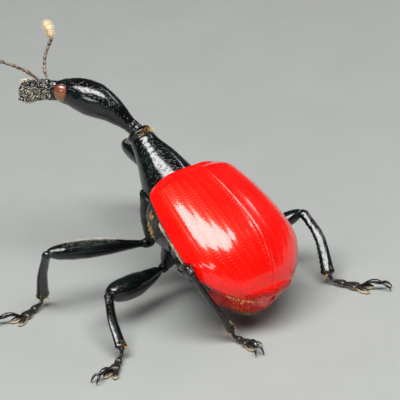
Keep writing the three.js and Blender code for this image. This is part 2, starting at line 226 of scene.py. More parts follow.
def grid_faces(rings, sides, closed=True, flip=False):
    faces = []
    columns = sides if closed else sides - 1
    for r in range(rings - 1):
        for s in range(columns):
            a = r * sides + s
            b = r * sides + (s + 1) % sides
            quad = (a, b, b + sides, a + sides)
            faces.append(quad[::-1] if flip else quad)
    return faces


def tube_points(route, width, height, up, sides, rings, relief=None):
    """Rings of points round a route, with two centre points that close the ends."""
    ends = (1 - np.cos(np.linspace(0, math.pi, rings))) / 2
    t = 0.75 * np.linspace(0, 1, rings) + 0.25 * ends
    centre = route.at(t)
    along = route.direction(t)
    side = np.cross(along, up)
    side /= np.linalg.norm(side, axis=1, keepdims=True)
    top = np.cross(side, along)
    angle = np.linspace(0, 2 * math.pi, sides, endpoint=False)
    grid_t, grid_a = np.meshgrid(t, angle, indexing="ij")
    across = np.cos(grid_a) * width(t)[:, None]
    rise = np.sin(grid_a) * height(t)[:, None]
    verts = centre[:, None] + across[..., None] * side[:, None] + rise[..., None] * top[:, None]
    if relief is not None:
        out = np.cos(grid_a)[..., None] * side[:, None] + np.sin(grid_a)[..., None] * top[:, None]
        verts = verts + out * relief(grid_t, grid_a, verts)[..., None]
    return verts, grid_t, grid_a, centre


def tube(name, route, width, height, up, finish, sides=28, rings=60, relief=None, replaces=(),
         sole=None):
    verts, grid_t, grid_a, centre = tube_points(route, width, height, up, sides, rings, relief)
    flat = verts.reshape(-1, 3)
    uv = np.stack([grid_a.ravel() / (2 * math.pi), grid_t.ravel()], 1)
    flat = np.vstack([flat, centre[:1], centre[-1:]])
    uv = np.vstack([uv, [[0.5, 0.0], [0.5, 1.0]]])
    if sole is not None:
        flat[:, 2] = np.maximum(flat[:, 2], sole)
    faces = grid_faces(rings, sides, flip=True)
    first = rings * sides
    last = (rings - 1) * sides
    for s in range(sides):
        n = (s + 1) % sides
        faces.append((first, s, n))
        faces.append((first + 1, last + n, last + s))
    return make_piece(name, flat, faces, finish, replaces, uv)


def egg(name, centre, axes, sizes, finish, sides=40, rings=24, replaces=(), sole=None):
    polar, turn = np.meshgrid(np.linspace(0, math.pi, rings), np.linspace(0, 2 * math.pi, sides,
                              endpoint=False), indexing="ij")
    local = np.stack([np.cos(polar), np.sin(polar) * np.cos(turn), np.sin(polar) * np.sin(turn)], -1)
    verts = centre + (local * np.array(sizes)) @ np.array(axes)
    uv = np.stack([turn.ravel() / (2 * math.pi), polar.ravel() / math.pi], 1)
    flat = verts.reshape(-1, 3)
    if sole is not None:
        flat[:, 2] = np.maximum(flat[:, 2], sole)
    handed = np.linalg.det(np.array(axes))
    return make_piece(name, flat, grid_faces(rings, sides, flip=handed < 0), finish, replaces, uv)


# %% [markdown]
# ## Shader maths as plain sentences
#
# Node graphs grow hard to read when each sum is three lines of code. A small class
# wraps a socket, so that an expression such as `1 - pits` adds its Math node.

# %% A socket that can be added and multiplied


class Wire:
    def __init__(self, tree, socket):
        self.tree = tree
        self.socket = socket

    def _math(self, operation, first, second=None):
        return add_node(self.tree, "ShaderNodeMath", {"operation": operation}, {0: first, 1: second})

    def __add__(self, other):
        return self._math("ADD", self, other)

    def __radd__(self, other):
        return self._math("ADD", other, self)

    def __sub__(self, other):
        return self._math("SUBTRACT", self, other)

    def __rsub__(self, other):
        return self._math("SUBTRACT", other, self)

    def __mul__(self, other):
        return self._math("MULTIPLY", self, other)

    def __rmul__(self, other):
        return self._math("MULTIPLY", other, self)

    def __truediv__(self, other):
        return self._math("DIVIDE", self, other)

    def __rtruediv__(self, other):
        return self._math("DIVIDE", other, self)

    def __pow__(self, other):
        return self._math("POWER", self, other)

    def __rpow__(self, other):
        return self._math("POWER", other, self)

    def fraction(self):
        return self._math("FRACT", self)

    def whole(self):
        return self._math("FLOOR", self)

    def size(self):
        return self._math("ABSOLUTE", self)

    def between(self, low, high):
        """0 below low, 1 above high, and a smooth step from one to the other."""
        settings = {"interpolation_type": "SMOOTHSTEP", "clamp": True}
        return add_node(self.tree, "ShaderNodeMapRange", settings, {0: self, 1: low, 2: high})


def add_node(tree, kind, settings=None, inputs=None, output=0):
    node = tree.nodes.new(kind)
    for key, value in (settings or {}).items():
        setattr(node, key, value)
    for key, value in (inputs or {}).items():
        if value is None:
            continue
        if isinstance(value, Wire):
            tree.links.new(value.socket, node.inputs[key])
        else:
            node.inputs[key].default_value = value
    return Wire(tree, node.outputs[output])


def rgb(r, g, b):
    return (r, g, b, 1.0)


def blend_colours(tree, factor, first, second):
    settings = {"data_type": "RGBA"}
    return add_node(tree, "ShaderNodeMix", settings, {0: factor, 6: first, 7: second}, output=2)


def new_finish(name, constants):
    finish = bpy.data.materials.new(name)
    finish.use_nodes = True
    tree = finish.node_tree
    shader = tree.nodes["Principled BSDF"]
    for key, value in constants.items():
        shader.inputs[key].default_value = value
    return finish, tree, shader


def wire_up(tree, shader, **links):
    for key, wire in links.items():
        tree.links.new(wire.socket, shader.inputs[key.replace("_", " ")])


def object_place(tree):
    return add_node(tree, "ShaderNodeTexCoord", output=3)


def noise(tree, place, size_mm, detail=3.0, rough=0.55):
    inputs = {"Vector": place, "Scale": 1 / (size_mm * MM), "Detail": detail, "Roughness": rough}
    return add_node(tree, "ShaderNodeTexNoise", {}, inputs)


def cells(tree, place, size_mm):
    inputs = {"Vector": place, "Scale": 1 / (size_mm * MM), "Randomness": 0.9}
    return add_node(tree, "ShaderNodeTexVoronoi", {"feature": "F1"}, inputs)


def bump(tree, height, depth_mm):
    inputs = {"Strength": 1.0, "Distance": depth_mm * MM, "Height": height}
    return add_node(tree, "ShaderNodeBump", {}, inputs)


# %% [markdown]
# ## Black shell
#
# The black plates are polished chitin. Broad patches of faint blue-green in their
# colour are a painted sheen that stands in for a coloured reflection, and their gloss
# is broken by tiny pits and creases. A plain dark colour with a clear coat would look
# like plastic, so the pits come from a cell pattern and the creases from noise at two
# scales. The pits are also darker in the colour, as painted shade.

# %% Finish of the black plates
RELIEF_MM = 0.04


def black_shell(name, pit_mm=0.11, pit_depth=0.012, crease_mm=0.25, crease_depth=0.012, roughness=0.1,
                painted_sheen=(0.003, 0.008, 0.007), shine=0.5, coat=0.35):
    finish, tree, shader = new_finish(name, {
        "IOR": 1.48, "Specular IOR Level": shine, "Coat Weight": coat, "Coat Roughness": 0.08})
    place = object_place(tree)
    broad = noise(tree, place, 0.9, detail=2.0)
    fine = noise(tree, place, crease_mm, detail=5.0, rough=0.6)
    pits = 1 - cells(tree, place, pit_mm).between(0.12, 0.42)
    # painted sheen: broad noise patches of blue-green in the base colour stand in for a coloured reflection
    base = blend_colours(tree, broad.between(0.42, 0.66), rgb(0.002, 0.002, 0.002), rgb(*painted_sheen))
    # painted shade: the pits are darker in the base colour
    colour = blend_colours(tree, pits * 0.6, base, rgb(0.001, 0.001, 0.001))
    height = fine * crease_depth - pits * pit_depth
    wire_up(tree, shader, Base_Color=colour, Roughness=roughness + fine * 0.1,
            Normal=bump(tree, height / RELIEF_MM, RELIEF_MM))
    return finish


smooth_black = black_shell("smooth_black_shell")
limb_black = black_shell("limb_black_shell", pit_mm=0.07, pit_depth=0.006, crease_mm=0.16,
                         crease_depth=0.014)
belly_black = black_shell("belly_black_shell", pit_mm=0.13, pit_depth=0.03, crease_mm=0.2,
                          crease_depth=0.03, roughness=0.22, painted_sheen=(0.004, 0.008, 0.005), shine=0.35,
                          coat=0.1)
print("black finishes:", smooth_black.name, limb_black.name, belly_black.name)

# %% [markdown]
# ## Red wing cases
#
# Each wing case carries ten rows of pits. The rows follow the outline, close
# together at the shoulder and the tip. They could be modelled one by one, but the
# mesh's own UV map already runs from the side margin to the seam, so a repeating
# pattern along it gives every pit its place. The furrows themselves are in the mesh.

# %% Finish of the wing cases
ROWS = 10
PITS_ALONG = 46


def red_shell():
    finish, tree, shader = new_finish("red_wing_case", {
        "IOR": 1.55, "Coat Weight": 1.0, "Coat Roughness": 0.14, "Specular Tint": rgb(1, 0.26, 0.12)})
    spread = add_node(tree, "ShaderNodeUVMap", {"uv_map": "Shape"})
    across = add_node(tree, "ShaderNodeSeparateXYZ", {}, {0: spread}, output=0)
    along = add_node(tree, "ShaderNodeSeparateXYZ", {}, {0: spread}, output=1)
    place = object_place(tree)
    wander = noise(tree, place, 0.5, detail=2.0) - 0.5
    row = across * ROWS + wander * 0.16
    off_row = (row.fraction() - 0.5).size()
    step = along * PITS_ALONG + row.whole() * 0.5 + wander * 0.5
    off_pit = (step.fraction() - 0.5).size()
    reach = ((off_row * 1.5) ** 2 + (off_pit * 1.15) ** 2) ** 0.5
    pits = 1 - reach.between(0.1, 0.42)
    broad = noise(tree, place, 1.3, detail=2.0)
    fine = noise(tree, place, 0.06, detail=3.0)
    bright = blend_colours(tree, broad.between(0.4, 0.68), rgb(0.7, 0.0015, 0.001),
                           rgb(0.82, 0.004, 0.002))
    # painted shade: the pits are a darker red in the base colour
    colour = blend_colours(tree, pits * 0.2, bright, rgb(0.4, 0.001, 0.001))
    height = fine * 0.05 - pits * 0.3
    wire_up(tree, shader, Base_Color=colour, Roughness=0.27 + fine * 0.1 + pits * 0.1,
            Normal=bump(tree, height, 0.03))
    return finish


wing_case_red = red_shell()
print("rows of pits on each wing case:", ROWS)

# %% [markdown]
# ## Red tail plate
#
# The tip of the body under the wing cases is the same red, but duller and pitted
# without rows, like orange peel. The finish above would need its UV rows there, so
# a plain cell pattern in the object's own space is used instead.

# %% Finish of the tail plate


def tail_shell():
    finish, tree, shader = new_finish("red_tail_plate", {
        "IOR": 1.45, "Coat Weight": 0.1, "Coat Roughness": 0.2, "Specular Tint": rgb(1, 0.3, 0.15)})
    place = object_place(tree)
    pits = 1 - cells(tree, place, 0.12).between(0.15, 0.45)
    fine = noise(tree, place, 0.2, detail=4.0)
    base = blend_colours(tree, fine.between(0.35, 0.7), rgb(0.62, 0.003, 0.002), rgb(0.8, 0.005, 0.003))
    # painted shade: the pits are a darker red in the base colour
    wire_up(tree, shader, Base_Color=blend_colours(tree, pits * 0.5, base, rgb(0.2, 0.002, 0.002)),
            Roughness=0.3 + fine * 0.2, Normal=bump(tree, fine * 0.4 - pits, 0.03))
    return finish


tail_red = tail_shell()
print("tail finish:", tail_red.name)

# %% [markdown]
# ## The two wing cases
#
# The pair makes one dome, broad at the shoulders and blunt behind. Each case is a
# curved sheet that turns under at the side margin. Its thickness is only seen at
# the rim, so the sheet is folded back there instead of being doubled all over.

# %% Wing case outlines
CASE_FRONT = -0.2
CASE_BACK = CASE_LENGTH + 0.07
case_width = profile([[-0.34, 1.45], [CASE_FRONT, 1.72], [-0.05, 1.98], [0.12, 2.1], [0.45, 2.2],
                      [1.5, 2.44], [3.0, CASE_HALF_WIDTH], [4.1, 2.55], [5.1, 1.87], [5.65, 1.1],
                      [CASE_LENGTH, 0.45], [CASE_BACK, 0.12]])
case_height = profile([[-0.34, 0.62], [CASE_FRONT, 0.78], [0, 0.95], [0.25, 1.17], [1.4, 1.48],
                       [3.0, CASE_HEIGHT], [4.2, 1.46], [5.2, 0.92], [5.7, 0.43], [CASE_LENGTH, 0.2],
                       [CASE_BACK, 0.05]])
case_skirt = profile([[0, CASE_SKIRT], [3.4, CASE_SKIRT], [4.6, 0.55],
                      [CASE_LENGTH, TAIL_SKIRT + 0.18]])
case_rim = profile([[0, 1], [3.0, 1], [4.6, 0.45], [CASE_LENGTH, 0.45]])
RIM_TURN = math.radians(-62)
SEAM_HALF = 0.012
FURROW = 0.006
SEAM_RIDGE = 0.035
MARGIN_SWELL = 0.04
BRIM = 0.03
FRONT_BULGE = 0.13


def bell(offset, reach):
    """1 at no offset, falling away smoothly beyond the reach on both sides."""
    return np.exp(-(offset / reach) ** 2)


print("wing case, mm:", round(CASE_BACK - CASE_FRONT, 2), "long,", CASE_HALF_WIDTH, "wide")

# %% Relief of a wing case


def case_swell(station, turn, share, front):
    """How far furrows, seam ridge, side margin and front brim stand off the plain dome."""
    inside = np.clip(share * 9, 0, 1) * np.clip((station + 0.1) * 2, 0, 1)
    inside = inside * np.clip((CASE_LENGTH - station) * 2.5, 0, 1)
    furrow = FURROW * inside * (0.5 + 0.5 * np.cos(2 * math.pi * share * ROWS)) ** 2
    ridge = SEAM_RIDGE * bell(share - 0.972, 0.016) * inside
    margin = MARGIN_SWELL * bell(turn + 0.02, 0.09)
    brim = BRIM * bell(station - front, 0.06) - BRIM * bell(station - front - 0.2, 0.09)
    return ridge + margin + brim + FURROW - furrow


# %% The two wing cases


def wing_case(side, sign):
    stations = 190
    columns = 132
    ease = np.linspace(0, 1, stations)
    turn = np.linspace(RIM_TURN, math.pi / 2, columns)
    front = CASE_FRONT - FRONT_BULGE * bell(turn - 0.7, 0.5)
    grid_a = np.broadcast_to(turn, (stations, columns))
    grid_s = front + (CASE_BACK - front) * ease[:, None]
    high = np.where(grid_a > 0, case_height(grid_s), case_skirt(grid_s))
    share = np.clip(grid_a / (math.pi / 2), 0, 1)
    swell = case_swell(grid_s, grid_a, share, front)
    square = np.where(grid_a > 0, 1, case_rim(grid_s))
    x = np.maximum((case_width(grid_s) + swell) * np.cos(grid_a) ** square, SEAM_HALF)
    z = (high + swell) * np.sin(grid_a)
    local = np.stack([sign * x, grid_s, z], -1)
    lip = local[:, :1] + np.array([-sign * 0.16, 0, 0.07])
    deep = local[:, :1] + np.array([-sign * 0.3, 0, 0.32])
    inner_seam = local[:, -1:] + np.array([0, 0, -0.25])
    local = np.concatenate([deep, lip, local, inner_seam], axis=1)
    verts = shoulders + local[..., :1] * left - local[..., 1:2] * forward + local[..., 2:] * dorsal
    u = np.concatenate([np.zeros(2), np.clip(turn / (math.pi / 2), 0, 1), [1.0]])
    uv = np.stack(np.broadcast_arrays(u[None], ease[:, None]), -1).reshape(-1, 2)
    faces = grid_faces(stations, columns + 3, closed=False, flip=sign > 0)
    return make_piece(f"wing_case_{side}", verts.reshape(-1, 3), faces, wing_case_red,
                      [f"elytron_{side}"], uv)


for side, sign in SIDES:
    case = wing_case(side, sign)
    print(case.name, "faces:", len(case.data.polygons))

# %% [markdown]
# ## Belly, tail plate and scutellum
#
# Under the wing cases sit the thorax with the roots of the legs and five belly
# rings. Each ring overlaps the next by a small step. The steps are part of the
# loft's radius, so no boolean is needed.

# %% Rear body
trunk_width = profile([[0, 1.72], [0.12, 1.94], [0.45, 2.04], [1.5, 2.28], [3.0, 2.46], [4.1, 2.39],
                       [5.1, 1.78], [5.65, 1.2], [CASE_LENGTH, 0.6]])
belly_depth = profile([[0, 1.95], [0.6, BELLY_DEPTH], [1.3, BELLY_DEPTH], [2.0, 2.1], [3.0, 2.05],
                       [4.4, 1.95], [5.1, 1.75], [5.5, 1.5], [CASE_LENGTH, 1.15]])
trunk_rim = profile([[0, 0.5], [1.2, 0.6], [2.0, 0.9], [CASE_LENGTH, 1]])


def trunk_place(station, angle, swell=0.0):
    """A place on the rear body; the angle runs from the left margin over the back."""
    low = np.sin(angle) < 0
    square = np.where(low, trunk_rim(station), 1)
    high = np.where(low, belly_depth(station), 0.5)
    across = np.sign(np.cos(angle)) * np.abs(np.cos(angle)) ** square
    x = (trunk_width(station) + swell) * across
    z = (high + swell) * np.sin(angle)
    return (shoulders + np.multiply.outer(x, left) - np.multiply.outer(station, forward)
            + np.multiply.outer(z, dorsal))


RING_STEP = 0.05
TAIL_CLOSE = 0.35


def belly(name, first, last, finish, replaces, steps=(), close=0.0):
    rings = 90
    sides = 120
    behind = np.linspace(first, last, rings)
    angle = np.linspace(0, 2 * math.pi, sides, endpoint=False)
    grid_s, grid_a = np.meshgrid(behind, angle, indexing="ij")
    swell = 0.02 * soft_noise(np.stack([grid_s, np.cos(grid_a), np.sin(grid_a)], -1), 0.8, 3)
    for step in steps:
        swell -= RING_STEP * np.exp(-np.clip(grid_s - step, 0, 9) / 0.16) * (grid_s > step)
    if close:
        left_over = np.clip((last - grid_s) / close, 0, 1)
        swell -= TAIL_CLOSE * (1 - np.sqrt(1 - (1 - left_over) ** 2))
    verts = trunk_place(grid_s, grid_a, swell)
    uv = np.stack([grid_a.ravel() / (2 * math.pi), (grid_s.ravel() / CASE_LENGTH)], 1)
    flat = np.vstack([verts.reshape(-1, 3), verts[0].mean(0)[None], verts[-1].mean(0)[None]])
    uv = np.vstack([uv, [[0.5, 0], [0.5, 1]]])
    faces = grid_faces(rings, sides, flip=False)
    centre = rings * sides
    bottom = (rings - 1) * sides
    for s in range(sides):
        n = (s + 1) % sides
        faces.append((centre, n, s))
        faces.append((centre + 1, bottom + s, bottom + n))
    return make_piece(name, flat, faces, finish, replaces, uv)


belly("rear_thorax", 0.03, WAIST_STATION + 0.1, belly_black, ["thorax"],
      steps=(1.2, 2.1))
belly("belly_rings", WAIST_STATION - 0.05, TAIL_STATION + 0.12, belly_black, ["abdomen"],
      steps=(3.1, 3.6, 4.1))
belly("tail_plate", TAIL_STATION - 0.02, CASE_LENGTH + 0.04, tail_red, ["pygidium"],
      steps=(5.1, 5.5), close=TAIL_CLOSE)

shield_route = Route([on_body(-0.1, 0, 0.8), on_body(0.08, 0, 1.02), on_body(0.26, 0, 1.16)])
tube("scutellum_plate", shield_route, profile([[0, 0.16], [0.5, 0.14], [1, 0.03]]),
     profile([[0, 0.05], [1, 0.03]]), dorsal, tail_red, sides=24, rings=20,
     replaces=["scutellum"])
print("belly at its deepest, mm:", BELLY_DEPTH)

# %% [markdown]
# ## Prothorax
#
# The prothorax is a cone with a collar at each end and fine creases across its
# front half. A turned shape would be too perfect, so slow noise lets its surface
# swell and its creases fade in and out, as on a grown thing.

# %% Prothorax


def thorax_relief(t, a, where):
    creases = 0.006 * np.sin(t * 92 + 1.3 * np.sin(2 * a)) * np.clip((t - 0.5) * 3, 0, 1)
    creases *= np.clip((0.97 - t) * 9, 0, 1) * (0.5 + 0.5 * soft_noise(where, 0.7, 5))
    collar = 0.05 * bell(t - 0.955, 0.02) - 0.06 * bell(t - 0.9, 0.022)
    hem = 0.05 * bell(t - 0.15, 0.014) - 0.05 * bell(t - 0.19, 0.02)
    return creases + collar + hem + 0.022 * soft_noise(where, 0.9, 11)


prothorax_route = Route([on_body(0.35, 0, -1.1), on_body(0, 0, -1.08),
                         thorax_start + thorax_front * THORAX_LENGTH * 0.55, neck])
prothorax_width = profile([[0, 1.24], [0.1, 1.28], [0.2, 1.22], [0.5, 0.93], [0.8, 0.57], [0.93, 0.52],
                           [0.985, 0.42], [1, 0.3]])
prothorax_height = profile([[0, 1.34], [0.1, 1.38], [0.2, 1.29], [0.5, 0.94], [0.8, 0.56], [0.93, 0.5],
                            [0.985, 0.42], [1, 0.3]])
tube("prothorax_cone", prothorax_route, prothorax_width, prothorax_height, dorsal, smooth_black,
     sides=96, rings=190, relief=thorax_relief, replaces=["prothorax"])
print("prothorax length, mm:", round(prothorax_route.length, 2))

# %% [markdown]
# ## Head
#
# Behind the eyes the head is a smooth pear on a thin neck; in front of them the
# rostrum is wrinkled and coarsely pitted and widens to the mouth. Both are one
# capsule on the real animal, so one loft makes them, and the wrinkles are strong
# only in front.

# %% Head capsule
head_route = Route([on_head(-0.22, 0, -0.2), on_head(0.47, 0, 0.4), on_head(1.02, 0, 0.85),
                    on_head(1.76, 0, 1.21), on_head(2.43, 0, 1.4), on_head(3.05, 0, 1.43),
                    on_head(3.94, 0, 1.42), on_head(4.86, 0, 1.24)])
head_width = profile([[0, 0.3], [0.12, 0.3], [0.25, 0.46], [0.42, 0.66], [0.55, 0.6], [0.64, 0.46],
                      [0.72, 0.29], [0.85, 0.36], [0.95, 0.46], [0.985, 0.4], [1, 0.16]])
head_height = profile([[0, 0.3], [0.12, 0.31], [0.25, 0.5], [0.42, 0.72], [0.55, 0.66], [0.66, 0.5],
                       [0.75, 0.43], [0.86, 0.44], [0.95, 0.42], [0.985, 0.34], [1, 0.12]])


def head_relief(t, a, where):
    snout = np.clip((t - 0.7) * 14, 0, 1)
    wrinkles = (0.028 * soft_noise(where, 0.2, 7) + 0.02 * soft_noise(where, 0.1, 8)) * snout
    groove = -0.05 * bell(np.cos(a), 0.16) * (np.sin(a) > 0) * snout
    band = -0.03 * bell(t - 0.705, 0.012)
    rings = 0.006 * np.sin(t * 150) * bell(t - 0.11, 0.04)
    throat = -0.02 * bell(np.cos(a), 0.2) * (np.sin(a) < 0)
    return wrinkles + groove + band + rings + throat + 0.006 * soft_noise(where, 0.5, 2)


tube("head_capsule", head_route, head_width, head_height, UP, smooth_black, sides=96,
     rings=260, relief=head_relief, replaces=["head"])
print("head length, mm:", round(head_route.length, 2))

# %% [markdown]
# ## Eyes
#
# A compound eye is a low dome of hundreds of facets, here brown above and ochre
# below. The facets are far too small to model, so a cell pattern gives their
# edges a faint relief under a clear coat.

# %% Finish of the eyes
EYE_FRONT = 2.92
EYE_ABOVE = 1.55
EYE_SIDE = 0.33
EYE_SIZES = (0.33, 0.25, 0.375)
EYE_TALL = 2 * EYE_SIZES[2]
EYE_BOTTOM = on_head(EYE_FRONT, 0, EYE_ABOVE)[2] - EYE_SIZES[2]


def eye_finish():
    finish, tree, shader = new_finish("compound_eye", {
        "IOR": 1.5, "Coat Weight": 0.9, "Coat Roughness": 0.04, "Roughness": 0.25})
    place = object_place(tree)
    height = add_node(tree, "ShaderNodeSeparateXYZ", {}, {0: place}, output=2)
    facets = cells(tree, place, 0.045).between(0.1, 0.55)
    patch = noise(tree, place, 0.25, detail=2.0)
    level = (height * 1000 - EYE_BOTTOM) / EYE_TALL + (patch - 0.5) * 0.5
    colour = blend_colours(tree, level.between(0.15, 0.85), rgb(0.34, 0.13, 0.03), rgb(0.17, 0.04, 0.012))
    colour = blend_colours(tree, facets * 0.3, colour, rgb(0.05, 0.012, 0.006))
    wire_up(tree, shader, Base_Color=colour, Normal=bump(tree, 1 - facets, 0.006))
    return finish


eye_glass = eye_finish()
print("eye, mm:", [2 * size for size in EYE_SIZES])

# %% Eyes
FAR_EYE_LOWER = 0.08
EYE_RIM_INSET = 0.02
EYE_RIM_RADII = (0.33, 0.36)


def eye_rim_thickness(t):
    return 0.035 + 0 * t


for side, sign in SIDES:
    middle = on_head(EYE_FRONT, sign * EYE_SIDE, EYE_ABOVE - (FAR_EYE_LOWER if side == "right" else 0))
    egg(f"eye_dome_{side}", middle, [head_front, head_left, UP], EYE_SIZES, eye_glass,
        replaces=[f"eye_{side}"])
    rim_middle = middle - sign * EYE_RIM_INSET * head_left
    rim = Route([rim_middle + EYE_RIM_RADII[0] * math.cos(v) * head_front
                 + EYE_RIM_RADII[1] * math.sin(v) * UP for v in np.linspace(0, 2 * math.pi, 25)], steps=8)
    tube(f"eye_rim_{side}", rim, eye_rim_thickness, eye_rim_thickness, head_left, smooth_black,
         sides=10, rings=90)

# %% [markdown]
# ## Jaws and feelers
#
# Each feeler has a smooth first joint, a string of bead-like joints and a soft
# tan club of three joints. The beads are one loft whose radius swells and pinches.

# %% Finishes of the feelers


def feeler_finish(name, colour, tip_colour, roughness):
    finish, tree, shader = new_finish(name, {"IOR": 1.5, "Coat Weight": 0.1})
    place = object_place(tree)
    grain = noise(tree, place, 0.05, detail=4.0)
    patch = noise(tree, place, 0.3, detail=2.0)
    mixed = blend_colours(tree, patch.between(0.35, 0.7), rgb(*colour), rgb(*tip_colour))
    wire_up(tree, shader, Base_Color=blend_colours(tree, grain.between(0.5, 0.8) * 0.4, mixed,
                                                   rgb(0.35, 0.26, 0.16)),
            Roughness=roughness + grain * 0.2, Normal=bump(tree, grain, 0.012))
    return finish


feeler_brown = feeler_finish("feeler_shell", (0.05, 0.035, 0.024), (0.25, 0.18, 0.12), 0.28)
club_tan = feeler_finish("club_felt", (0.42, 0.27, 0.14), (0.62, 0.45, 0.27), 0.6)
print("feeler finishes:", feeler_brown.name, club_tan.name)

# %% Feelers
FEELERS = {
    "left": (on_head(3.72, 0.12, 1.76), on_head(4.29, 0.55, 2.5), on_head(4.79, 0.85, 2.87),
             on_head(5.59, 1.2, 3.27), on_head(6.18, 1.5, 3.69)),
    "right": (on_head(3.74, -0.24, 1.7), on_head(4.15, -0.85, 1.9), on_head(4.18, -1.2, 2.4),
              on_head(3.99, -1.6, 2.99), on_head(4.36, -1.9, 3.57)),
}
BEADS = 7
hair_jobs = []


def bead_width(t):
    return 0.036 + 0.03 * np.abs(np.sin(t * BEADS * math.pi)) ** 0.7 + 0.01 * t


club_outline = profile([[0, 0.07], [0.12, 0.13], [0.45, 0.19], [0.75, 0.18], [0.93, 0.1], [1, 0.02]])
CLUB_PINCH = 0.16


def club_width(t):
    return club_outline(t) * (1 - CLUB_PINCH * bell(t - 0.36, 0.025) - CLUB_PINCH * bell(t - 0.66, 0.025))


def feeler(side, base, elbow, bend, club_neck, tip):
    scape = Route([base, base * 0.5 + elbow * 0.5, elbow])
    scape_width = profile([[0, 0.07], [0.15, 0.045], [0.6, 0.055], [0.92, 0.08], [1, 0.04]])
    tube(f"feeler_scape_{side}", scape, scape_width, scape_width, head_left, feeler_brown,
         sides=20, rings=40, replaces=[f"antenna_scape_{side}"])
    string = Route([elbow * 0.95 + base * 0.05, elbow * 0.85 + bend * 0.15, bend, club_neck])
    tube(f"feeler_beads_{side}", string, bead_width, bead_width, head_left, feeler_brown,
         sides=18, rings=BEADS * 16, replaces=[f"antenna_funicle_{side}"])
    club = Route([club_neck * 0.97 + bend * 0.03, club_neck * 0.5 + tip * 0.5, tip])
    tube(f"feeler_club_{side}", club, club_width, club_width, head_left, club_tan, sides=28,
         rings=70, replaces=[f"antenna_club_{side}"])
    hair_jobs.append((f"club_hairs_{side}", club, club_width, head_left, 420, 0.09))


for side, points in FEELERS.items():
    feeler(side, *points)
print("feeler clubs done, beads on each feeler:", BEADS)

# %% Jaws
jaw_width = profile([[0, 0.14], [0.5, 0.12], [1, 0.02]])
jaw_height = profile([[0, 0.1], [0.5, 0.08], [1, 0.02]])

for side, sign in SIDES:
    jaw = Route([on_head(4.5, sign * 0.2, 1.1), on_head(4.79, sign * 0.24, 1.04),
                 on_head(4.92, sign * 0.08, 1.0)])
    tube(f"jaw_{side}", jaw, jaw_width, jaw_height, UP, smooth_black, sides=16, rings=24,
         replaces=[f"mandible_{side}"])
    print(f"jaw_{side} length, mm:", round(jaw.length, 2))

# %% [markdown]
# ## Legs
#
# All six legs are built alike: a cone at the body, a club-shaped femur, a slim bowed
# tibia with two spurs, and a foot. Only the places of the joints differ, so they
# stand in one list: root and hip are told in the body's own directions, and knee,
# ankle, pad and claw in the room's, because they must meet the floor.

# %% Leg places
LEGS = {
    "front_left": dict(root=(-0.6, 0.8, -1.25), hip=(0.35, 0.5, -3.42), knee=(5.74, -7.21, 3.05),
                       ankle=(5.39, -8.47, 0.45), pad=(6.75, -8.12), claw=(7.6, -8.6), thigh=0.36,
                       bow=(0.08, -0.06, 0.02)),
    "front_right": dict(root=(-0.5, -0.62, -1.0), hip=(-1.68, -1.81, -2.85),
                        knee=(-1.7, -11.94, 3.53), ankle=(-2.83, -11.11, 0.45), pad=(-3.75, -11.5),
                        claw=(-4.5, -11.85), thigh=0.41, bow=(-0.1, 0.08, 0)),
    "middle_left": dict(root=(1.35, 0.75, -1.3), hip=(1.58, 0.68, -3.38), knee=(4.72, -4.72, 1.74),
                        ankle=(5.67, -2.77, 0.45), pad=(6.72, -2.04), claw=(7.45, -2.0), thigh=0.48,
                        sag=0.14, bow=(0.12, 0, 0.12)),
    "middle_right": dict(root=(1.35, -0.75, -1.3), hip=(1.58, -0.75, -3.31), knee=(-3.1, -6.6, 2.45),
                         ankle=(-3.75, -7.4, 0.45), pad=(-4.6, -8.0), claw=(-5.15, -8.6), thigh=0.48,
                         sag=0.14, bow=(-0.1, 0, 0.1)),
    "hind_left": dict(root=(2.2, 0.95, -1.2), hip=(2.3, 0.7, -2.6), knee=(3.08, -1.41, 3.42),
                      ankle=(1.81, -0.73, 0.45), pad=(1.62, 0.2), claw=(1.8, 0.85), thigh=0.33,
                      bow=(0.06, 0.1, 0)),
    "hind_right": dict(root=(2.2, -0.95, -1.2), hip=(2.3, -0.9, -2.6), knee=(-4.25, -3.6, 2.3),
                       ankle=(-3.68, -1.42, 0.45), pad=(-4.32, -0.08), claw=(-4.97, 0.58), thigh=0.33,
                       bow=(-0.2, 0, 0.28)),
}
print("legs to build:", list(LEGS))

# %% [markdown]
# ## Finish of feet and spurs
#
# The foot joints are black on top and wear a sole of cream felt, and the spurs are
# orange horn. Painting the sole as a second piece would leave a hard line, so the
# height above the floor turns the one colour into the other.

# %% Finish of feet and spurs


def pad_finish():
    finish, tree, shader = new_finish("foot_pads", {"IOR": 1.45, "Coat Weight": 0.15})
    place = object_place(tree)
    height = add_node(tree, "ShaderNodeSeparateXYZ", {}, {0: place}, output=2)
    grain = noise(tree, place, 0.06, detail=4.0)
    dark = (height * 1000 + (grain - 0.5) * 0.08).between(0.1, 0.17)
    colour = blend_colours(tree, dark, rgb(0.7, 0.55, 0.34), rgb(0.014, 0.011, 0.009))
    wire_up(tree, shader, Base_Color=colour, Roughness=0.6 - dark * 0.3, Normal=bump(tree, grain, 0.015))
    return finish


foot_finish = pad_finish()
spine_finish = feeler_finish("orange_spurs", (0.3, 0.12, 0.03), (0.5, 0.26, 0.08), 0.35)
print("foot finishes:", foot_finish.name, spine_finish.name)

# %% [markdown]
# ## Cone, femur and tibia
#
# The femur swells towards the knee, because it holds the muscles of the tibia, and
# the tibia is a flattened rod with a low toothed keel underneath. A metaball chain could melt them
# together, but on the real leg they are separate hard tubes, so three lofts meet
# inside the joints.

# %% Cone at the body and femur
coxa_shape = profile([[0, 0.54], [0.5, 0.48], [0.8, 0.33], [0.96, 0.2], [1, 0.08]])
fringes = []


def coxa_relief(t, a, where):
    return 0.008 * soft_noise(where, 0.35, 13)


def coxa_cone(name, socket, joint, outward):
    route = Route([socket, (socket + joint) / 2, joint])
    tube(f"coxa_cone_{name}", route, coxa_shape, coxa_shape, outward, belly_black, sides=40,
         rings=60, relief=coxa_relief, replaces=[f"coxa_{name}"])


